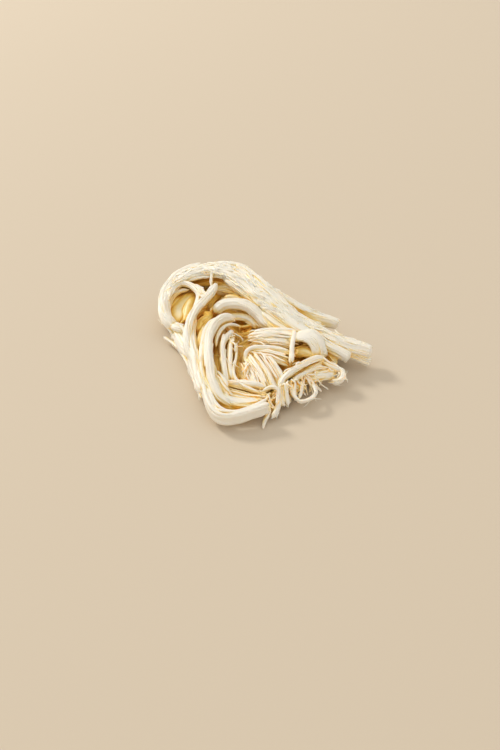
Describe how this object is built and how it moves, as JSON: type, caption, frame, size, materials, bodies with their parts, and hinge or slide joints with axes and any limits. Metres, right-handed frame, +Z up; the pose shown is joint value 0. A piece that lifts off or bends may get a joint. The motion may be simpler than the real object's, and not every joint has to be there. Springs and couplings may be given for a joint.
{
  "type": "braided string cheese",
  "caption": "Hank of braided string cheese pulled partly open: a looped end, two rope arms, curled strands between them and a torn fringe, lying in a flat heap.",
  "frame": {"origin": "centre of the bounding box at the flat underside, on the surface that the hank lies on", "axes": "+X runs along the hank from its looped end to its cut ends, +Y away from the front slab, +Z up"},
  "size_m": [0.1731, 0.1594, 0.0369],
  "materials": {
    "cheese": "moist cream-white cheese, finely fibrous, soft satin, yellower where strands shade each other"
  },
  "bodies": {
    "root": {"string_cheese": "cheese"}
  },
  "joints": []
}
